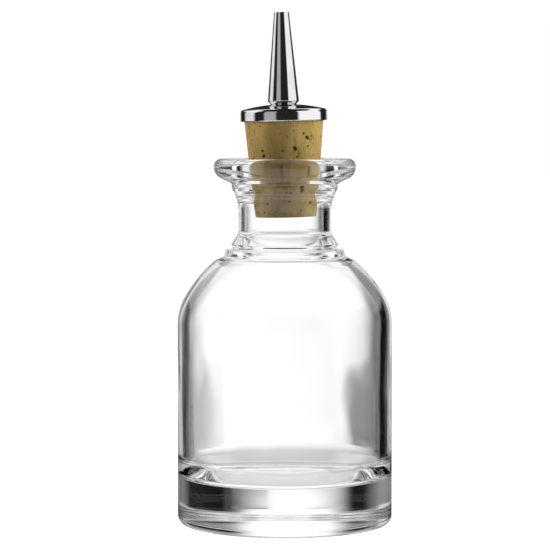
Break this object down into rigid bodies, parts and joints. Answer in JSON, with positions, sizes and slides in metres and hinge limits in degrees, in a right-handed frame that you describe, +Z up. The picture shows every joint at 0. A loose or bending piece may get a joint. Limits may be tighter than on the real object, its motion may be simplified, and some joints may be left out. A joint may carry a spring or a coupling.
{
  "type": "glass dash bottle",
  "caption": "Small clear glass dash bottle with a round-shouldered body, a wide rounded lip, a tapered cork stopper, a domed metal cap and a slender pouring spout.",
  "frame": {"origin": "centre of the flat ring that the bottle stands on", "axes": "+Z up along the bottle's axis, +X to the right and +Y away from the shown front"},
  "size_m": [0.056, 0.056, 0.1333],
  "materials": {
    "clear_glass": "clear gloss",
    "natural_cork": "matte natural cork",
    "cap_metal": "mirror polish",
    "spout_metal": "mirror polish"
  },
  "bodies": {
    "root": {"bottle": "clear_glass", "cork": "natural_cork", "cap": "cap_metal", "spout": "spout_metal"}
  },
  "joints": []
}
